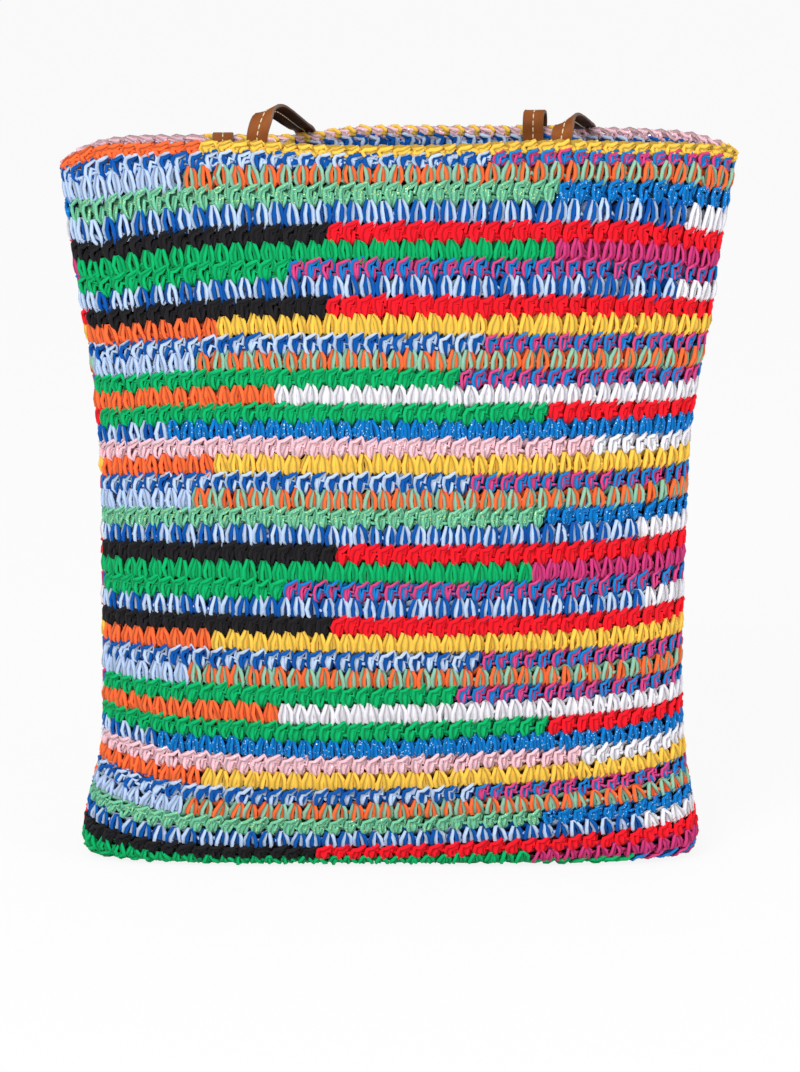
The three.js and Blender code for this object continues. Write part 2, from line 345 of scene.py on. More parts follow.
YARN_CAP = np.array([(0, 1, 2, 3), (0, 3, 4, 7), (4, 5, 6, 7)])
# Behind its loops each round is packed with yarn that zigzags along it and closes the
# gaps between them: half its height, its thickness, its place up the round and its
# depth, with how far it goes up and down and in and out
PACK_TALL = 5.2
PACK_THICK = 1.7
PACK_UP = 0.52
FIRST_PACK_UP = 0.3
PACK_DEEP = -1.9
PACK_ZIGZAG = 0.16
PACK_WAVE = 0.5


def pack_section():
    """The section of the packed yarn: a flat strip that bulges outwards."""
    return np.array([(0, PACK_TALL, 0), (0, PACK_TALL / 2, PACK_THICK),
                     (0, -PACK_TALL / 2, PACK_THICK), (0, -PACK_TALL, 0)])


# The edging loops along the back rim, from the inside over the top to the outside
EDGING = np.array([
    (-0.44, 0.74, -2.8, 0.7),
    (-0.28, 0.98, -3.2, 1.0),
    (-0.06, 1.16, -1.4, 1.1),
    (0.16, 1.14, 1.2, 1.0),
    (0.32, 0.92, 2.4, 0.8),
    (0.40, 0.66, 2.0, 0.6),
])
# The yarn of the edging, and which loops of the back rim it covers, by their x
EDGED = ("yellow", -130, 124)


def yarn_section(thick):
    """The section of the doubled yarn, two strands side by side: which strand's side
    each of its eight points is on, and where it lies from the strand's middle."""
    outline = [(0, 0.5), (0.2, 0.98), (1, 0), (0.2, -0.98),
               (0, -0.5), (-0.2, -0.98), (-1, 0), (-0.2, 0.98)]
    return np.array([(np.sign(x), thick * x, thick * y) for x, y in outline])


# Each yarn: half the distance between its two strands, the radius of a strand
YARN_SIZE = {
    "orange": (1.3, 1.5), "yellow": (1.3, 1.5), "blue_marl": (1.25, 1.35),
    "purple_marl": (1.2, 0.95), "light_blue": (1.25, 1.4), "mint_marl": (1.25, 1.35),
    "mint_glitter": (1.2, 1.2), "blue_glitter": (1.2, 1.2), "white": (1.35, 1.5),
    "black": (1.3, 1.5), "red": (1.35, 1.5), "green": (1.25, 1.4),
    "magenta": (1.25, 1.1), "pink_glitter": (1.3, 1.4),
}


class YarnPile:
    """Gathers every tube of one yarn, with a map for its twist and one for its surface."""

    def __init__(self, name):
        self.name = name
        self.points = []
        self.quads = []
        self.tiles = []
        self.twists = []
        self.count = 0

    def add(self, points, way_out, turning, spread, section, tile_segments, swapped, behind=False):
        """One tube along points, with way_out beside each, and its section turned.
        swapped says for each stitch whether its two strands have changed places."""
        rings = len(points)
        along = unit(np.gradient(points, axis=0))
        side = np.cross(along, way_out)
        weak = np.linalg.norm(side, axis=1, keepdims=True)
        side = unit(side)
        # where the yarn runs straight through the fabric, the side follows its neighbours
        carried = side.copy()
        last = side[0]
        for k in range(rings):
            share = min(1.0, float(weak[k, 0]) * SIDE_TRUST) ** 2
            flat = side[k] if side[k] @ last >= 0 else -side[k]
            moved = last - along[k] * (last @ along[k])
            mixed = flat * share + moved * (1 - share)
            mixed = mixed - along[k] * (mixed @ along[k])
            last = mixed / max(np.linalg.norm(mixed), 1e-9)
            carried[k] = last
        up = np.cross(along, carried)
        turn_cos = np.cos(turning)[:, None]
        turn_sin = np.sin(turning)[:, None]
        first = carried * turn_cos + up * turn_sin
        second = up * turn_cos - carried * turn_sin
        across = spread[:, None] * section[None, :, 0] + section[None, :, 1]
        ring_points = (points[:, None, :] + first[:, None, :] * across[:, :, None]
                       + second[:, None, :] * section[None, :, 2:])
        self.points.append(ring_points.reshape(-1, 3))
        n = len(section)
        start = self.count
        k, j, a, b = ring_quads(rings, n, start)
        quads = np.stack([a, b, b + n, a + n], axis=-1)
        self.quads.append(quads.reshape(-1, 4))
        run = np.concatenate([[0], np.cumsum(np.linalg.norm(np.diff(points, axis=0), axis=1))])
        # the packed yarn's map runs below zero, and the material darkens it as painted shade
        if behind:
            run = -1 - run
        u0 = np.broadcast_to(run[:-1, None], (rings - 1, n))
        u1 = np.broadcast_to(run[1:, None], (rings - 1, n))
        v0 = np.broadcast_to(j / n, (rings - 1, n))
        v1 = v0 + 1 / n
        tile = np.broadcast_to(k // tile_segments, (rings - 1, n))
        w0 = v0 + 0.5 * np.asarray(swapped)[tile]
        w1 = w0 + 1 / n
        self.twists.append(corner_map(u0, u1, w0, w1))
        place = (k % tile_segments) / tile_segments
        p0 = np.broadcast_to(place, (rings - 1, n))
        p1 = p0 + 1 / tile_segments
        corners = corner_map(p0, p1, v0, v1)
        self.tiles.append((tile.reshape(-1), corners))
        # the two ends are closed by flat caps
        cap = YARN_CAP if n > 4 else np.array([(0, 1, 2, 3)])
        angles = 2 * math.pi * np.arange(n) / n
        spots = 0.5 + 0.4 * np.stack([np.cos(angles), np.sin(angles)], axis=-1)
        for ring, order in ((0, cap[:, ::-1]), (rings - 1, cap)):
            self.quads.append(start + ring * n + order)
            self.twists.append(np.full((len(cap), 4, 2), run[ring]))
            self.tiles.append((np.zeros(len(cap), int), spots[order]))
        self.count += rings * n

    def finish(self, material):
        corners = []
        numbers = []
        first = 0
        for tile, spots in self.tiles:
            numbers.append(tile + first)
            corners.append(spots)
            first += int(tile.max()) + 1
        numbers = np.concatenate(numbers)
        corners = np.concatenate(corners)
        wide = math.ceil(math.sqrt(first))
        cell = np.stack([numbers % wide, numbers // wide], axis=-1)[:, None, :]
        unwrapped = (cell + TILE_MARGIN + (1 - 2 * TILE_MARGIN) * corners) / wide
        maps = {"OFBake": unwrapped, "yarn": np.concatenate(self.twists) * (MM, 1)}
        obj = new_object(self.name, np.concatenate(self.points), np.concatenate(self.quads),
                         maps, [material])
        stand_for(obj, "crochet_body")


# Each round from the rim down: the yarn that it starts with at the left edge, how many
# stitches that lasts, and the yarn of the rest of the front and the back
ROUND_YARNS = [
    ("orange", 10, "yellow"), ("blue_marl", 28, "purple_marl"), ("light_blue", 9, "mint_marl"),
    ("mint_glitter", 32, "blue_glitter"), ("blue_marl", 41, "white"), ("black", 18, "red"),
    ("green", 32, "magenta"), ("green", 15, "purple_marl"), ("blue_marl", 41, "white"),
    ("black", 17, "red"), ("orange", 10, "yellow"), ("blue_marl", 28, "purple_marl"),
    ("light_blue", 8, "mint_marl"), ("green", 26, "purple_marl"), ("orange", 14, "white"),
    ("green", 32, "red"), ("blue_marl", 6, "blue_glitter"), ("pink_glitter", 36, "white"),
    ("orange", 9, "yellow"), ("blue_marl", 27, "purple_marl"), ("light_blue", 8, "mint_marl"),
    ("mint_glitter", 33, "blue_glitter"), ("blue_marl", 39, "white"), ("black", 18, "red"),
    ("green", 32, "magenta"), ("green", 14, "purple_marl"), ("blue_marl", 40, "white"),
    ("black", 18, "red"), ("orange", 9, "yellow"), ("blue_marl", 28, "purple_marl"),
    ("light_blue", 8, "mint_marl"), ("green", 26, "purple_marl"), ("orange", 14, "white"),
    ("green", 33, "red"), ("blue_marl", 5, "blue_glitter"), ("pink_glitter", 35, "white"),
    ("orange", 9, "yellow"), ("blue_marl", 28, "purple_marl"), ("light_blue", 8, "mint_marl"),
    ("mint_glitter", 32, "blue_glitter"), ("blue_marl", 39, "white"), ("black", 17, "red"),
    ("green", 31, "magenta"), ("green", 38, "purple_marl"), ("blue_marl", 39, "white"),
    ("black", 17, "red"),
]
# The two top rounds change once more, at the right edge, and are worked on both faces
BACK_YARNS = {1: (46, "pink_glitter"), 2: (46, "blue_marl")}
TWO_FACED_ROUNDS = (1, 2)
# The rounds under the base, from this one on, are made with half as many points
FIRST_COARSE_ROUND = 45


def round_shift(rnd):
    if rnd <= 2 or rnd % 2 == 0:
        return SHIFT * rnd
    return SHIFT * (rnd + 1) + WRONG_SIDE_SHIFT


def work_stitches(pile, rnd, first, last, inside=False):
    """Works the stitches first to last of a round in one yarn, as one tube."""
    shape = RIGHT_SIDE if rnd <= 2 or rnd % 2 == 0 else WRONG_SIDE
    per_stitch = len(shape)
    numbers = np.arange(first, last)
    count = len(numbers)
    controls = np.tile(shape, (count, 1, 1))
    loose = rng.normal(0, 1, (count, per_stitch, 4)) * POINT_NOISE
    lean = rng.normal(0, 1, (count, 1, 4)) * STITCH_NOISE
    controls = controls + loose + lean
    tilt = rng.normal(*STITCH_TILT, (count, 1))
    controls[:, :, 0] += tilt * (controls[:, :, 1] - TILT_FOOT)
    controls[:, :, 0] += numbers[:, None]
    controls = controls.reshape(-1, 4)
    if inside:
        controls[:, 2] *= -1
    step = 2 if rnd >= FIRST_COARSE_ROUND else 1
    at = np.arange(0, len(controls), step)
    path = through_points(controls, at.astype(float))
    share = (path[:, 0] + 0.5 + round_shift(rnd) % 1) / STITCHES
    points, way_out = surface.at(share, rnd - path[:, 1], path[:, 2])
    points[:, 2] = np.maximum(points[:, 2], LOWEST_YARN)
    sway = rng.normal(0, 1, len(path) + TURN_STEPS - 1)
    even = np.ones(TURN_STEPS) / math.sqrt(TURN_STEPS)
    turning = YARN_TURN * np.convolve(sway, even, mode="valid")
    swapped = np.cumsum(rng.random(count) < SWAP_OFTEN) % 2
    spread, thick = YARN_SIZE[pile.name]
    pile.add(points, way_out, turning, spread * path[:, 3], yarn_section(thick),
             math.ceil(per_stitch / step), swapped)


def pack_behind(pile, rnd, first, last):
    """The yarn packed behind the loops of the stitches first to last of a round. Its
    map runs below zero, which tells the material to darken it as painted shade of the loops."""
    stops = np.arange(first, last + 0.25, 0.5)
    side = np.where(np.arange(len(stops)) % 2, 1, -1)
    share = (stops + round_shift(rnd) % 1) / STITCHES
    up = (FIRST_PACK_UP if rnd == 1 else PACK_UP) + PACK_ZIGZAG * side
    up = up + rng.normal(0, PACK_NOISE, len(stops))
    deep = 0 if rnd in TWO_FACED_ROUNDS else PACK_DEEP
    points, way_out = surface.at(share, rnd - up, deep + PACK_WAVE * side)
    points[:, 2] = np.maximum(points[:, 2], LOWEST_YARN)
    flat = np.zeros(len(stops))
    swapped = np.cumsum(rng.random(len(stops)) < PACK_SWAP_OFTEN) % 2
    pile.add(points, way_out, flat, flat, pack_section(), 1, swapped, behind=True)


def edge_rim(piles):
    """The edging loops that are worked over the top of the back rim."""
    name, left, right = EDGED
    spread, thick = YARN_SIZE[name]
    for number in range(STITCHES // 2, STITCHES):
        at = EDGING + rng.normal(0, 1, EDGING.shape) * EDGING_NOISE
        share = (number + 0.5 + at[:, 0] + round_shift(1) % 1) / STITCHES
        points, way_out = surface.at(share, 1 - at[:, 1], at[:, 2])
        if left < points[2, 0] < right:
            piles[name].add(points, way_out, np.zeros(len(at)), spread * at[:, 3],
                            yarn_section(thick), len(at), [0, 0])


def work_bag():
    piles = {name: YarnPile(name) for name in YARN_SIZE}
    for rnd, (left, stitches, right) in enumerate(ROUND_YARNS, start=1):
        runs = [(left, 0, stitches)]
        end = STITCHES
        if rnd in BACK_YARNS:
            end, back = BACK_YARNS[rnd]
            runs.append((back, end, STITCHES))
        runs.append((right, stitches, end))
        for name, first, last in runs:
            work_stitches(piles[name], rnd, first, last)
            pack_behind(piles[name], rnd, first, last)
            if rnd in TWO_FACED_ROUNDS:
                work_stitches(piles[name], rnd, first, last, inside=True)
    edge_rim(piles)
    return piles


# Materials

def node_tree_helpers(tree):
    def node(kind, **values):
        made = tree.nodes.new(kind)
        for key, value in values.items():
            setattr(made, key, value)
        return made

    def math_node(operation, first, second=None, clamp=False):
        made = node("ShaderNodeMath", operation=operation, use_clamp=clamp)
        for socket, value in zip(made.inputs, (first, second)):
            if value is None:
                continue
            if isinstance(value, (int, float)):
                socket.default_value = value
            else:
                tree.links.new(value, socket)
        return made.outputs[0]

    def mix(share, first, second, kind="MIX"):
        made = node("ShaderNodeMix", data_type="RGBA", blend_type=kind)
        for socket, value in ((made.inputs[0], share), (made.inputs[6], first), (made.inputs[7], second)):
            if isinstance(value, (int, float)):
                socket.default_value = value
            elif isinstance(value, tuple):
                socket.default_value = (*value, 1)
            else:
                tree.links.new(value, socket)
        return made.outputs[2]

    def noise(places, scale, detail=2):
        made = node("ShaderNodeTexNoise")
        made.inputs["Scale"].default_value = scale
        made.inputs["Detail"].default_value = detail
        tree.links.new(places.outputs["Object"], made.inputs["Vector"])
        return made.outputs[0]

    return node, math_node, mix, noise


def linear(red, green, blue):
    """A colour written as screen values from 0 to 255, as linear light."""
    def one(value):
        value /= 255
        return value / 12.92 if value <= 0.04045 else ((value + 0.055) / 1.055) ** 2.4
    return tuple(one(v) for v in (red, green, blue))


def new_group(name, inputs, outputs):
    group = bpy.data.node_groups.new(name, "ShaderNodeTree")
    for label, kind, value in inputs:
        socket = group.interface.new_socket(name=label, in_out="INPUT", socket_type=kind)
        socket.default_value = value
    for label, kind in outputs:
        group.interface.new_socket(name=label, in_out="OUTPUT", socket_type=kind)
    entry = group.nodes.new("NodeGroupInput")
    leave = group.nodes.new("NodeGroupOutput")
    return group, entry, leave


def yarn_group():
    """Two strands of plied yarn side by side, told apart by the map that runs along
    and around the yarn, with the grooves of the plies, stray fibres and glitter."""
    group, entry, leave = new_group(
        "plied yarn",
        [("First Strand", "NodeSocketColor", (1, 1, 1, 1)),
         ("Second Strand", "NodeSocketColor", (1, 1, 1, 1)),
         ("Ply Length", "NodeSocketFloat", 0.006),
         ("Glitter", "NodeSocketFloat", 0.0),
         ("Glitter Color", "NodeSocketColor", (1, 1, 1, 1))],
        [("Color", "NodeSocketColor"), ("Height", "NodeSocketFloat"), ("Roughness", "NodeSocketFloat"),
         ("Metallic", "NodeSocketFloat")])
    node, maths, mix, noise = node_tree_helpers(group)
    link = group.links.new
    where = node("ShaderNodeUVMap", uv_map="yarn")
    parts = node("ShaderNodeSeparateXYZ")
    link(where.outputs[0], parts.inputs[0])
    along = parts.outputs[0]
    around = maths("FRACT", parts.outputs[1])
    second = maths("GREATER_THAN", around, 0.5)
    strand = mix(second, entry.outputs[0], entry.outputs[1])
    turns = maths("DIVIDE", along, entry.outputs[2])
    lay = maths("ADD", turns, maths("MULTIPLY", around, 4.0))
    wave = maths("ABSOLUTE", maths("SINE", maths("MULTIPLY", lay, 3 * math.pi)))
    ply = maths("POWER", wave, 0.6)
    places = node("ShaderNodeTexCoord")
    fine = noise(places, 2600)
    broad = noise(places, 260)
    # the crown of each strand, with the groove where the two lie together; the colour is
    # darkened in this groove and between the plies as painted shade, over random tone
    crown = maths("POWER", maths("ABSOLUTE", maths("SINE", maths("MULTIPLY", around, 2 * math.pi))), 0.5)
    shade = maths("ADD", maths("MULTIPLY", ply, 0.22), maths("MULTIPLY", fine, 0.24))
    shade = maths("ADD", shade, maths("MULTIPLY", broad, 0.24))
    painted_groove_shade = maths("ADD", maths("MULTIPLY", crown, 0.78), 0.27, clamp=True)
    shade = maths("MULTIPLY", maths("ADD", shade, 0.6), painted_groove_shade)
    # the yarn packed behind the loops, whose map runs below zero, is darkened as painted shade of the loops
    behind = maths("LESS_THAN", along, 0.0)
    shade = maths("MULTIPLY", shade, maths("SUBTRACT", 1.0, maths("MULTIPLY", behind, 0.38)))
    tone_and_painted_shade = node("ShaderNodeCombineColor")
    for socket in tone_and_painted_shade.inputs:
        link(shade, socket)
    shaded = mix(1.0, strand, tone_and_painted_shade.outputs[0], "MULTIPLY")
    flecks = node("ShaderNodeTexVoronoi")
    flecks.inputs["Scale"].default_value = 1100
    link(places.outputs["Object"], flecks.inputs["Vector"])
    pick = node("ShaderNodeSeparateColor")
    link(flecks.outputs["Color"], pick.inputs[0])
    chosen = maths("LESS_THAN", pick.outputs[0], entry.outputs[3])
    core = maths("LESS_THAN", flecks.outputs["Distance"], 0.42)
    sparkle = maths("MULTIPLY", chosen, core)
    finished = mix(sparkle, shaded, entry.outputs[4])
    link(finished, leave.inputs[0])
    height = maths("ADD", maths("MULTIPLY", ply, 0.25), maths("MULTIPLY", fine, 0.12))
    height = maths("ADD", height, maths("MULTIPLY", crown, 1.5))
    link(height, leave.inputs[1])
    link(maths("SUBTRACT", 0.88, maths("MULTIPLY", sparkle, 0.6)), leave.inputs[2])
    link(maths("MULTIPLY", sparkle, 0.5), leave.inputs[3])
    return group


PLIED_YARN = yarn_group()


def new_material(name, sheen=0.0):
    material = bpy.data.materials.new(name)
    material.use_nodes = True
    shader = material.node_tree.nodes["Principled BSDF"]
    shader.inputs["Specular IOR Level"].default_value = 0.15
    shader.inputs["Sheen Weight"].default_value = sheen
    shader.inputs["Sheen Roughness"].default_value = 0.5
    return material, shader


def join_finish(tree, finish, shader, strength, far):
    """Joins a finish's outputs to its shader, with its height as bump, far in metres."""
    bump = tree.nodes.new("ShaderNodeBump")
    bump.inputs["Strength"].default_value = strength
    bump.inputs["Distance"].default_value = far
    tree.links.new(finish.outputs["Height"], bump.inputs["Height"])
    tree.links.new(bump.outputs["Normal"], shader.inputs["Normal"])
    tree.links.new(finish.outputs["Color"], shader.inputs["Base Color"])
    for name in ("Roughness", "Metallic"):
        if name in finish.outputs:
            tree.links.new(finish.outputs[name], shader.inputs[name])


def yarn_material(name, first, second, glitter=0.0, sparkle=(255, 255, 255)):
    material, shader = new_material(name + " yarn", sheen=0.04)
    tree = material.node_tree
    plies = tree.nodes.new("ShaderNodeGroup")
    plies.node_tree = PLIED_YARN
    plies.inputs["First Strand"].default_value = (*linear(*first), 1)
    plies.inputs["Second Strand"].default_value = (*linear(*second), 1)
    plies.inputs["Glitter"].default_value = glitter
    plies.inputs["Glitter Color"].default_value = (*linear(*sparkle), 1)
    join_finish(tree, plies, shader, 0.5, 0.0004)
    return material


YARN_LOOKS = {
    "orange": dict(first=(255, 114, 60), second=(255, 114, 60)),
    "yellow": dict(first=(255, 206, 82), second=(255, 206, 82)),
    "blue_marl": dict(first=(0, 88, 176), second=(190, 212, 242)),
    "purple_marl": dict(first=(224, 70, 136), second=(20, 132, 212)),
    "light_blue": dict(first=(188, 210, 244), second=(188, 210, 244)),
    "mint_marl": dict(first=(144, 198, 170), second=(252, 112, 58)),
    "mint_glitter": dict(first=(118, 202, 162), second=(118, 202, 162), glitter=0.16,
                         sparkle=(225, 255, 170)),
    "blue_glitter": dict(first=(0, 126, 208), second=(0, 126, 208), glitter=0.12,
                         sparkle=(200, 235, 255)),
    "white": dict(first=(240, 238, 245), second=(240, 238, 245)),
    "black": dict(first=(32, 30, 33), second=(32, 30, 33)),
    "red": dict(first=(255, 24, 42), second=(255, 24, 42)),
    "green": dict(first=(0, 182, 106), second=(0, 182, 106)),
    "magenta": dict(first=(214, 60, 128), second=(214, 60, 128)),
    "pink_glitter": dict(first=(248, 200, 210), second=(248, 200, 210), glitter=0.1),
}


def make_crochet():
    piles = work_bag()
    for name, pile in piles.items():
        pile.finish(yarn_material(name.replace("_", " "), **YARN_LOOKS[name]))


make_crochet()


# Lining

CLOTH = 0.8
HEM = 0.9
HEM_ROUNDS = 1.1
LINING_AROUND = 96
LINING_DOWN = 28
# How far the cloth hangs off the fabric where it sags, and how deep its folds are
SAG = 0.8
FOLD_DEEP = 0.27
# The lining is cut as one piece that goes once round the bag, in metres
LINING_CUT = (0.9, 0.52)


def weave_group():
    """Plain weave: threads that pass over and under each other, told by the cloth's map."""
    group, entry, leave = new_group(
        "plain weave",
        [("Thread Size", "NodeSocketFloat", 0.0006), ("Light", "NodeSocketColor", (1, 1, 1, 1)),
         ("Dark", "NodeSocketColor", (0, 0, 0, 1))],
        [("Color", "NodeSocketColor"), ("Height", "NodeSocketFloat")])
    node, maths, mix, noise = node_tree_helpers(group)
    link = group.links.new
    where = node("ShaderNodeUVMap", uv_map="cloth")
    parts = node("ShaderNodeSeparateXYZ")
    link(where.outputs[0], parts.inputs[0])
    across = maths("MULTIPLY", maths("DIVIDE", parts.outputs[0], entry.outputs[0]), math.pi)
    down = maths("MULTIPLY", maths("DIVIDE", parts.outputs[1], entry.outputs[0]), math.pi)
    weft = maths("ABSOLUTE", maths("SINE", across))
    warp = maths("ABSOLUTE", maths("SINE", down))
    slow_across = maths("SINE", maths("MULTIPLY", across, 0.5))
    slow_down = maths("SINE", maths("MULTIPLY", down, 0.5))
    turn = maths("MULTIPLY", slow_across, slow_down)
    over = maths("GREATER_THAN", turn, 0.0)
    under = maths("SUBTRACT", 1.0, over)
    height = maths("ADD", maths("MULTIPLY", weft, over), maths("MULTIPLY", warp, under))
    places = node("ShaderNodeTexCoord")
    slub = noise(places, 120, detail=4)
    # the colour is lighter on the crowns of the threads and darker between them as painted shade, with slubs
    # that vary at random
    share = maths("ADD", maths("MULTIPLY", height, 0.6), maths("MULTIPLY", slub, 0.5), clamp=True)
    link(mix(share, entry.outputs[2], entry.outputs[1]), leave.inputs[0])
    link(height, leave.inputs[1])
    return group


def cotton_material():
    material, shader = new_material("black cotton", sheen=0.1)
    shader.inputs["Roughness"].default_value = 0.9
    tree = material.node_tree
    weave = tree.nodes.new("ShaderNodeGroup")
    weave.node_tree = weave_group()
    weave.inputs["Thread Size"].default_value = 0.0007
    # the lighter colour paints the threads' crowns, the darker one the shade between them
    weave.inputs["Light"].default_value = (*linear(44, 42, 46), 1)
    weave.inputs["Dark"].default_value = (*linear(12, 11, 13), 1)
    join_finish(tree, weave, shader, 0.4, 0.0001)
    return material


def make_lining():
    """The lining as a thin closed cloth: outside and inside, joined at the hemmed top and
    sewn shut along the base."""
    around = LINING_AROUND
    down = LINING_DOWN
    shares = (np.arange(around) + 0.5) / around
    rounds = LINING_TOP + (ROUNDS - 0.2 - LINING_TOP) * np.linspace(0, 1, down + 1) ** 0.9
    rounds[1] = LINING_TOP + HEM_ROUNDS
    rounds[2] = LINING_TOP + HEM_ROUNDS + 0.05
    share, rnd = np.meshgrid(shares, rounds)
    sag = np.clip((rnd - LINING_TOP - 2) / 8, 0, 1) * np.clip((40 - rnd) / 6, 0, 1)
    folds = sum(np.sin(2 * math.pi * (share * waves + phase + rnd * twist))
                for waves, phase, twist in ((9, 0.1, 0.03), (14, 0.6, -0.04), (23, 0.3, 0.05)))
    wrinkle = sag * (SAG + FOLD_DEEP * folds)
    hem = np.where(rnd < LINING_TOP + HEM_ROUNDS + 0.01, HEM, 0)
    outside, _ = surface.at(share, rnd, FABRIC / 2 - (FABRIC + LINING_GAP + wrinkle))
    inside, _ = surface.at(share, rnd, FABRIC / 2 - (FABRIC + LINING_GAP + CLOTH + hem + wrinkle))
    rings = np.concatenate([inside[::-1], outside])
    count = len(rings)
    k, j, a, b = ring_quads(count, around)
    quads = np.stack([a, a + around, b + around, b], axis=-1).reshape(-1, 4)
    u0 = np.broadcast_to(j / around, (count - 1, around))
    v0 = np.broadcast_to(k / (count - 1) * 0.9, (count - 1, around))
    u1 = u0 + 1 / around
    v1 = v0 + 0.9 / (count - 1)
    corners = corner_map(u0, u1, v0, v1)
    run = np.concatenate([[0], np.cumsum(np.linalg.norm(np.diff(rings[:, around // 4], axis=0), axis=1))])
    d0 = np.broadcast_to(run[:-1, None] * MM, (count - 1, around))
    d1 = np.broadcast_to(run[1:, None] * MM, (count - 1, around))
    w0 = u0 * LINING_CUT[0]
    w1 = u1 * LINING_CUT[0]
    cloth = corner_map(w0, w1, d0, d1)
    seam = np.arange(around // 2 - 1)
    low = np.stack([seam, seam + 1, around - 2 - seam, around - 1 - seam], axis=-1)
    last = (count - 1) * around
    quads = np.vstack([quads, low, last + low[:, ::-1]])
    for level, flip in ((0.92, False), (0.96, True)):
        left = seam / len(seam)
        right = (seam + 1) / len(seam)
        top = np.full(len(seam), level)
        above = top + 0.03
        spots = np.stack([left, top, right, top, right, above, left, above], axis=-1)
        spots = spots.reshape(-1, 4, 2)
        spots = spots[:, ::-1] if flip else spots
        corners = np.concatenate([corners, spots])
        cloth = np.concatenate([cloth, spots * 0.4])
    maps = {"OFBake": corners, "cloth": cloth}
    obj = new_object("lining_cloth", rings.reshape(-1, 3), quads, maps, [cotton_material()])
    stand_for(obj, "lining")


make_lining()


# The leather straps

SEWN_INSET = FABRIC + LINING_GAP + LINING + STRAP_GAP + STRAP_THICK / 2
FLAT_STAND = STRAP_GAP + STRAP_THICK / 2
EDGE_STAND = STRAP_GAP + STRAP_WIDTH / 2
CROSSED_STAND = EDGE_STAND + STRAP_WIDTH + 2 * STRAP_GAP
RIM_BEND = 1.5
SEWN_ROUND = 5
FRONT_ENDS = (-91, 110)
FRONT_HANGS = (-60, 129)
FRONT_RISES = (21.5, 14)
FRONT_LEANS = (26, 36)
FRONT_LOOP = 138
BACK_ENDS = (-116, 93)
BACK_HANG_RIGHT = 96
BACK_RISES = (2, 11)
BACK_LOOP = 205
STRAP_STEP = 3.0


def panel_point(x, rnd, side, out):
    """A point at x on the front panel (side -1) or the back one (side 1)."""
    reach = float(left_reach(rnd) if x < 0 else right_reach(rnd))
    across = min(abs(x) / reach, 1) ** (float(squareness(rnd)) / 2)
    turn = math.acos(-math.copysign(across, x)) / (2 * math.pi)
    point = bag_point(turn if side < 0 else 1 - turn, rnd, 0)
    return np.array([x, point[1] + side * out, point[2]])


def round_at_height(x, height):
    low, high = 0.0, float(ROUNDS)
    for _ in range(30):
        middle = (low + high) / 2
        if panel_point(x, middle, 1, 0)[2] > height:
            low = middle
        else:
            high = middle
    return low


def sewn_stops(x, side, turn):
    return [(panel_point(x, rnd, side, -SEWN_INSET), turn, 0) for rnd in (SEWN_ROUND, SEWN_ROUND / 2, 0.3)]


def hanging_stops(left, right, depth, stands):
    """A loop hanging behind the back panel, with how far the strap stands off it."""
    stand_at = curve_through([(0, stands[0]), (0.5, stands[1]), (1, stands[2])])
    stops = []
    for share in np.arange(0.1, 0.95, 0.1):
        angle = math.pi * share
        x = (left + right) / 2 - (right - left) / 2 * math.cos(angle)
        height = BAG_HEIGHT - depth * math.sin(angle)
        panel = panel_point(x, round_at_height(x, height), 1, float(stand_at(share)))
        eased = min(max((share - 0.12) / 0.76, 0), 1)
        stops.append((np.array([x, panel[1], height]), 180 * eased * eased * (3 - 2 * eased), 0))
    return stops


# The ways over the rim, as shares of the way across, the way back, the rise and the lean
ARCH = [(0, 0, 0.24, 0), (0.08, 0.02, 0.68, 0.5), (0.2, 0.08, 0.97, 1), (0.36, 0.18, 1.02, 1),
        (0.52, 0.32, 0.87, 0.9), (0.68, 0.54, 0.64, 0.7), (0.84, 0.77, 0.41, 0.4),
        (0.95, 0.93, 0.27, 0.1), (1, 1, 0.08, 0)]
FOLD = [(0, 0.02, 0.6, 0), (0.2, 0.25, 1, 0), (0.75, 0.7, 1, 0), (1, 1, 0.5, 0)]


def rim_stops(shape, side, start_x, finish_x, rise, turn, lean):
    """The way over the rim, from the inside of one panel to the outside of the back."""
    start = panel_point(start_x, 0, side, -SEWN_INSET)
    finish = panel_point(finish_x, 0, 1, FLAT_STAND + RIM_BEND)
    return [(np.array([start[0] + (finish[0] - start[0]) * across,
                       start[1] + (finish[1] - start[1]) * back,
                       start[2] + (finish[2] - start[2]) * back + rise * up]), turn, lean * leaning)
            for across, back, up, leaning in shape]


def front_route():
    (end_left, end_right), (hang_left, hang_right) = FRONT_ENDS, FRONT_HANGS
    return (sewn_stops(end_left, -1, 0)
            + rim_stops(ARCH, -1, end_left, hang_left, FRONT_RISES[0], 0, FRONT_LEANS[0])
            + hanging_stops(hang_left, hang_right, FRONT_LOOP, (EDGE_STAND, CROSSED_STAND, CROSSED_STAND))
            + rim_stops(ARCH, -1, end_right, hang_right, FRONT_RISES[1], 180, -FRONT_LEANS[1])[::-1]
            + sewn_stops(end_right, -1, 180)[::-1])


def back_route():
    left, right = BACK_ENDS
    above = STRAP_GAP + STRAP_THICK / 2
    return (sewn_stops(left, 1, 0)
            + rim_stops(FOLD, 1, left, left, above + BACK_RISES[0], 0, 0)
            + hanging_stops(left, BACK_HANG_RIGHT, BACK_LOOP, (EDGE_STAND, EDGE_STAND, EDGE_STAND))
            + rim_stops(FOLD, 1, right, BACK_HANG_RIGHT, above + BACK_RISES[1], 180, 0)[::-1]
            + sewn_stops(right, 1, 180)[::-1])


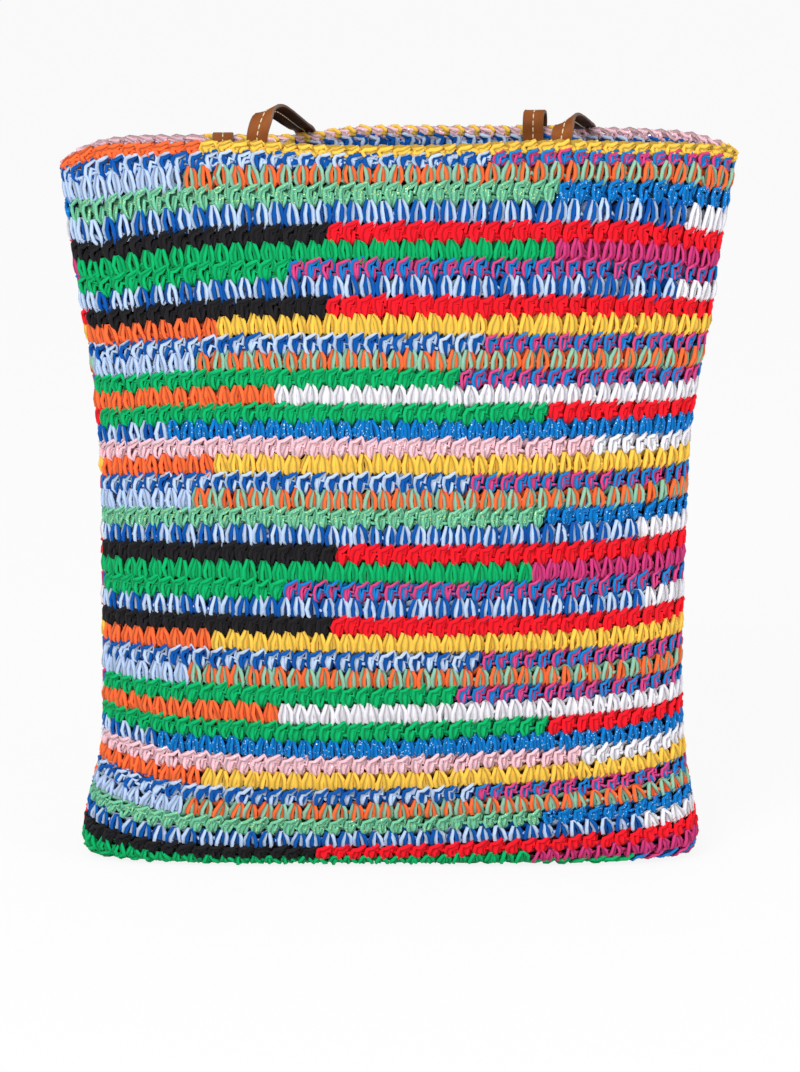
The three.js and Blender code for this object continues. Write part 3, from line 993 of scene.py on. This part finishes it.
class StrapPath:
    """A strap's middle line through its stops, evenly divided, with its width's way."""

    def __init__(self, route):
        stops = np.array([at for at, _, _ in route])
        turns = curve_through([(i, turn) for i, (_, turn, _) in enumerate(route)])
        leans = curve_through([(i, lean) for i, (_, _, lean) in enumerate(route)])
        before = np.vstack([2 * stops[:1] - stops[1:2], stops, 2 * stops[-1:] - stops[-2:-1]])
        gaps = np.maximum(np.sqrt(np.linalg.norm(np.diff(before, axis=0), axis=1)), 1e-4)
        fine = []
        places = []
        for k in range(len(stops) - 1):
            a, b, c, d = before[k:k + 4]
            ta, tb, tc = gaps[k:k + 3]
            out = ((b - a) / ta - (c - a) / (ta + tb) + (c - b) / tb) * tb
            into = ((c - b) / tb - (d - b) / (tb + tc) + (d - c) / tc) * tb
            t = np.linspace(0, 1, 60, endpoint=False)[:, None]
            fine.append(b + out * t + (-3 * b + 3 * c - 2 * out - into) * t ** 2
                        + (2 * b - 2 * c + out + into) * t ** 3)
            places.append(k + t[:, 0])
        fine = np.vstack(fine + [stops[-1:]])
        places = np.concatenate(places + [[len(stops) - 1]])
        run = np.concatenate([[0], np.cumsum(np.linalg.norm(np.diff(fine, axis=0), axis=1))])
        self.length = run[-1]
        self.run = run
        self.fine = fine
        self.turn = np.radians(turns(places))
        self.lean = np.radians(leans(places))

    def at(self, distance):
        """Middle points, ways along, across and up, at distances from the first end."""
        distance = np.asarray(distance, float)

        def middle(where):
            return np.stack([np.interp(where, self.run, self.fine[:, i]) for i in range(3)], axis=-1)

        points = middle(distance)
        along = unit(middle(np.minimum(distance + 2.5, self.length)) - middle(np.maximum(distance - 2.5, 0)))
        turn = np.interp(distance, self.run, self.turn)
        lean = np.interp(distance, self.run, self.lean)
        across = np.stack([np.cos(turn), np.sin(turn), np.tan(lean)], axis=-1)
        across = unit(across - along * np.sum(across * along, axis=-1, keepdims=True))
        return points, along, across, np.cross(along, across)


# The strap's section: across, up, and the finish of the face that follows (0 the
# grain side, 1 the cut edge, 2 the inner face, under the arch, in a darker copy of the grain side that
# paints its shade). The stitch line lies in a shallow groove.
def strap_section():
    wide = STRAP_WIDTH / 2
    tall = STRAP_THICK / 2
    return [(-wide + 0.5, tall, 2), (-3.2, tall, 2), (-0.9, tall, 2), (0, tall - 0.3, 2),
            (0.9, tall, 2), (3.2, tall, 2), (wide - 0.5, tall, 1), (wide, tall - 0.55, 1),
            (wide, -tall + 0.55, 1), (wide - 0.5, -tall, 0), (0.9, -tall, 0), (0, -tall + 0.3, 0),
            (-0.9, -tall, 0), (-wide + 0.5, -tall, 1), (-wide, -tall + 0.55, 1), (-wide, tall - 0.55, 1)]


def end_rounding(distance, length):
    """How much of the strap's width is left near its two rounded ends."""
    near = np.minimum(distance, length - distance)
    corner = 3.0
    inside = np.clip(near / corner, 0, 1)
    return 1 - (1 - np.sqrt(1 - (1 - inside) ** 2)) * corner / (STRAP_WIDTH / 2)


def make_strap(name, node, path, materials):
    section = strap_section()
    count = len(section)
    ends = np.array([0, 0.3, 0.9, 1.8, 3.0])
    steps = np.arange(3.0 + STRAP_STEP, path.length - 3.0 - STRAP_STEP / 2, STRAP_STEP)
    stops = np.concatenate([ends, steps, path.length - ends[::-1]])
    middle, along, across, up = path.at(stops)
    narrow = end_rounding(stops, path.length)
    places = np.array([(x, y) for x, y, _ in section])
    points = (middle[:, None, :] + across[:, None, :] * (places[None, :, :1] * narrow[:, None, None])
              + up[:, None, :] * places[None, :, 1:])
    rings = len(stops)
    k, j, a, b = ring_quads(rings, count)
    quads = np.stack([a, a + count, b + count, b], axis=-1).reshape(-1, 4)
    uses = np.broadcast_to(np.array([use for _, _, use in section]), (rings - 1, count)).reshape(-1)
    lengths = np.linalg.norm(places - np.roll(places, -1, axis=0), axis=1)
    edge = np.concatenate([[0], np.cumsum(lengths)]) / lengths.sum()
    u0 = np.broadcast_to(stops[:-1, None] / path.length, (rings - 1, count))
    u1 = np.broadcast_to(stops[1:, None] / path.length, (rings - 1, count))
    v0 = np.broadcast_to(edge[None, :-1], (rings - 1, count))
    v1 = np.broadcast_to(edge[None, 1:], (rings - 1, count))
    # the strap is unwrapped in eight strips, one above another
    strips = 8
    strip = np.minimum((u0 * strips + 1e-6).astype(int), strips - 1)
    flat_u0 = (u0 * strips - strip) / 1.3
    flat_u1 = (u1 * strips - strip) / 1.3
    flat_v0 = (strip + 0.05 + 0.9 * v0) / (strips + 1)
    flat_v1 = (strip + 0.05 + 0.9 * v1) / (strips + 1)
    unwrapped = np.stack([flat_u0, flat_v0, flat_u1, flat_v0, flat_u1, flat_v1, flat_u0, flat_v1],
                         axis=-1).reshape(-1, 4, 2)
    half = count // 2
    caps = np.array([(i, i + 1, count - 2 - i, count - 1 - i) for i in range(half - 1)])
    angles = 2 * math.pi * np.arange(count) / count
    spots = np.stack([np.cos(angles), np.sin(angles)], axis=-1)
    size = 0.4 / (strips + 1)
    for number, (ring, order) in enumerate(((0, caps), (rings - 1, caps[:, ::-1]))):
        quads = np.vstack([quads, ring * count + order])
        place = np.array([0.2 + 0.3 * number, (strips + 0.5) / (strips + 1)])
        unwrapped = np.concatenate([unwrapped, place + size * spots[order]])
        uses = np.concatenate([uses, np.ones(len(order), int)])
    obj = new_object(name, points.reshape(-1, 3), quads, {"OFBake": unwrapped}, materials, uses)
    stand_for(obj, node)


# The sewing thread on the straps: its thickness, and the length and spacing of stitches
THREAD = 0.45
STITCH_LONG = 3.4
STITCH_EVERY = 4.4
SEWN_LONG = 34
# The box stitching: how far its sides lie from the strap's middle and its first row
# from the strap's end, and where that row's stitches lie, with half their length
BOX_SIDE = 4.6
BOX_END = 3.2
BOX_ACROSS = 2.4
BOX_HALF = 1.7


def thread_stitches(path):
    """Every stitch on both faces of a strap: the middle seam, and the box at each end."""
    stitches = []
    for face in (1, -1):
        for place in np.arange(6, path.length - 6, STITCH_EVERY):
            stitches.append((place, 0.0, STITCH_LONG / 2, 0.0, face))
        for end in (0, 1):
            for place in np.arange(5, SEWN_LONG, STITCH_EVERY):
                where = place if end == 0 else path.length - place
                for side in (-BOX_SIDE, BOX_SIDE):
                    stitches.append((where, side, STITCH_LONG / 2, 0.0, face))
            for where in (BOX_END, SEWN_LONG):
                for side in (-BOX_ACROSS, BOX_ACROSS):
                    spot = where if end == 0 else path.length - where
                    stitches.append((spot, side, 0.0, BOX_HALF, face))
    return stitches


def make_threads(name, node, path, material):
    sides = 4
    shape = [(-1.0, 0.35, 0.0), (-0.55, 1.0, 0.55), (0.55, 1.0, 0.55), (1.0, 0.35, 0.0)]
    points = []
    quads = []
    corners = []
    stitches = thread_stitches(path)
    wide = math.ceil(math.sqrt(len(stitches)))
    angles = 2 * math.pi * np.arange(sides) / sides
    for number, (place, side, half_long, half_wide, face) in enumerate(stitches):
        first = len(points) * sides
        cell = np.array([number % wide, number // wide])
        for step, (share, size, lift) in enumerate(shape):
            middle, along, across, up = (v[0] for v in path.at([place + share * half_long]))
            groove = 0.3 if side == 0 else 0.0
            surface_at = face * (STRAP_THICK / 2 + 0.05 - groove + lift * THREAD * 0.7)
            centre = middle + across * (side + share * half_wide) + up * surface_at
            way = across if half_long else along
            ring = (centre + np.outer(np.cos(angles), way) * THREAD * size
                    + np.outer(np.sin(angles), up) * THREAD * size)
            points.append(ring)
            if step == 0:
                continue
            flip = half_long > 0
            for j in range(sides):
                a = first + (step - 1) * sides + j
                b = first + (step - 1) * sides + (j + 1) % sides
                quad = (a, a + sides, b + sides, b) if flip else (a, b, b + sides, a + sides)
                quads.append(quad)
                u0 = (step - 1) / (len(shape) - 1)
                u1 = step / (len(shape) - 1)
                v0 = j / sides
                v1 = (j + 1) / sides
                spots = [(u0, v0), (u1, v0), (u1, v1), (u0, v1)]
                if not flip:
                    spots = [(u0, v0), (u0, v1), (u1, v1), (u1, v0)]
                corners.append((cell + 0.08 + 0.84 * np.array(spots)) / wide)
    obj = new_object(name, np.concatenate(points), np.array(quads),
                     {"OFBake": np.array(corners)}, [material])
    stand_for(obj, node)


def leather_group():
    """Leather: a blotchy colour, darker between the pebbles of its grain, and the height of its grain."""
    group, entry, leave = new_group(
        "leather grain",
        [("Light", "NodeSocketColor", (1, 1, 1, 1)), ("Dark", "NodeSocketColor", (0, 0, 0, 1)),
         ("Grain Size", "NodeSocketFloat", 900.0)],
        [("Color", "NodeSocketColor"), ("Height", "NodeSocketFloat"), ("Roughness", "NodeSocketFloat")])
    node, maths, mix, noise = node_tree_helpers(group)
    link = group.links.new
    places = node("ShaderNodeTexCoord")
    broad = noise(places, 45, detail=5)
    pebbles = node("ShaderNodeTexVoronoi")
    pebbles.feature = "DISTANCE_TO_EDGE"
    link(entry.outputs[2], pebbles.inputs["Scale"])
    link(places.outputs["Object"], pebbles.inputs["Vector"])
    fine = noise(places, 1500)
    plump = maths("MULTIPLY", pebbles.outputs["Distance"], 2.2, clamp=True)
    blotch = maths("MULTIPLY", maths("SUBTRACT", broad, 0.3), 2.2, clamp=True)
    share = maths("MULTIPLY", blotch, maths("ADD", maths("MULTIPLY", plump, 0.5), 0.5), clamp=True)
    link(mix(share, entry.outputs[1], entry.outputs[0]), leave.inputs[0])
    link(maths("ADD", plump, maths("MULTIPLY", fine, 0.4)), leave.inputs[1])
    link(maths("SUBTRACT", 0.62, maths("MULTIPLY", plump, 0.16)), leave.inputs[2])
    return group


def leather_material(name, light, dark, grain, bump_far):
    material, shader = new_material(name)
    tree = material.node_tree
    grained = tree.nodes.new("ShaderNodeGroup")
    grained.node_tree = LEATHER_GRAIN
    grained.inputs["Light"].default_value = (*linear(*light), 1)
    grained.inputs["Dark"].default_value = (*linear(*dark), 1)
    grained.inputs["Grain Size"].default_value = grain
    join_finish(tree, grained, shader, 0.5, bump_far)
    return material


LEATHER_GRAIN = leather_group()


def make_handles():
    leathers = [
        leather_material("tan leather", (168, 98, 44), (118, 62, 24), 900, 0.00008),
        leather_material("cut leather edge", (150, 124, 112), (100, 80, 70), 1600, 0.00006),
        # the inner face, under the arch: the grain side's leather in a darker copy, as painted shade
        leather_material("tan leather in painted shade", (104, 60, 36), (60, 34, 20), 1500, 0.0001),
    ]
    thread, shader = new_material("cream thread", sheen=0.2)
    shader.inputs["Base Color"].default_value = (*linear(232, 212, 172), 1)
    shader.inputs["Roughness"].default_value = 0.7
    for name, node, route in (("front_strap", "front_handle", front_route()),
                              ("back_strap", "back_handle", back_route())):
        path = StrapPath(route)
        make_strap(name, node, path, leathers)
        make_threads(name + "_thread", node, path, thread)


make_handles()


# The floor, the light and the camera

FLOOR_HALF = 60000
# How white the floor is to the camera, over its own shading and shadow, and how bright
# the room is to the object and to the camera
FLOOR_WHITE = 0.88
ROOM_LIGHT = 0.62
ROOM_SEEN = 1.0


def make_stage():
    half = FLOOR_HALF
    corners = np.array([(-half, -half, 0), (half, -half, 0), (half, half, 0), (-half, half, 0)], float)
    floor = new_object("floor", corners, np.array([(0, 1, 2, 3)]), {}, [])
    material = bpy.data.materials.new("white floor")
    material.use_nodes = True
    tree = material.node_tree
    tree.nodes.clear()
    leave = tree.nodes.new("ShaderNodeOutputMaterial")
    matte = tree.nodes.new("ShaderNodeBsdfDiffuse")
    matte.inputs["Color"].default_value = (0.9, 0.9, 0.9, 1)
    glow = tree.nodes.new("ShaderNodeEmission")
    glow.inputs["Strength"].default_value = 1
    rays = tree.nodes.new("ShaderNodeLightPath")
    seen = tree.nodes.new("ShaderNodeMath")
    seen.operation = "MULTIPLY"
    seen.inputs[1].default_value = FLOOR_WHITE
    tree.links.new(rays.outputs["Is Camera Ray"], seen.inputs[0])
    mix = tree.nodes.new("ShaderNodeMixShader")
    tree.links.new(seen.outputs[0], mix.inputs[0])
    tree.links.new(matte.outputs[0], mix.inputs[1])
    tree.links.new(glow.outputs[0], mix.inputs[2])
    tree.links.new(mix.outputs[0], leave.inputs["Surface"])
    floor.data.materials.append(material)

    world = bpy.data.worlds.new("white room")
    bpy.context.scene.world = world
    world.use_nodes = True
    tree = world.node_tree
    tree.nodes.clear()
    leave = tree.nodes.new("ShaderNodeOutputWorld")
    back = tree.nodes.new("ShaderNodeBackground")
    back.inputs["Color"].default_value = (1, 1, 1, 1)
    rays = tree.nodes.new("ShaderNodeLightPath")
    level = tree.nodes.new("ShaderNodeMapRange")
    level.inputs["To Min"].default_value = ROOM_LIGHT
    level.inputs["To Max"].default_value = ROOM_SEEN
    tree.links.new(rays.outputs["Is Camera Ray"], level.inputs["Value"])
    tree.links.new(level.outputs[0], back.inputs["Strength"])
    tree.links.new(back.outputs[0], leave.inputs["Surface"])


def add_lamp(name, place, aim, size, power):
    data = bpy.data.lights.new(name, "AREA")
    data.shape = "DISK"
    data.size = size
    data.energy = power
    lamp = bpy.data.objects.new(name, data)
    bpy.context.collection.objects.link(lamp)
    lamp.location = place
    away = np.array(place) - np.array(aim)
    flat = math.hypot(away[0], away[1])
    lamp.rotation_euler = (math.atan2(flat, away[2]), 0, math.atan2(away[0], -away[1]))


CAMERA_AWAY = 3500
CAMERA_HIGH = 994.62
CAMERA_ACROSS = 3.4
CAMERA_TILT = 12.5
CAMERA_LENS = 177.46
SENSOR = 36
SEEN_FAR = 200
LIGHT_AIM = (0, 0, 0.25)

make_stage()
add_lamp("front_light", (-1.0, -2.2, 2.0), LIGHT_AIM, 1.6, 46)
add_lamp("right_light", (1.8, -1.4, 1.1), LIGHT_AIM, 1.2, 14)

camera_data = bpy.data.cameras.new("camera")
camera_data.lens = CAMERA_LENS
camera_data.sensor_width = SENSOR
camera_data.clip_end = SEEN_FAR
camera = bpy.data.objects.new("camera", camera_data)
bpy.context.collection.objects.link(camera)
camera.location = (CAMERA_ACROSS * MM, -CAMERA_AWAY * MM, CAMERA_HIGH * MM)
camera.rotation_euler = (math.radians(90 - CAMERA_TILT), 0, 0)
scene = bpy.context.scene
scene.camera = camera
scene.view_settings.view_transform = "Standard"
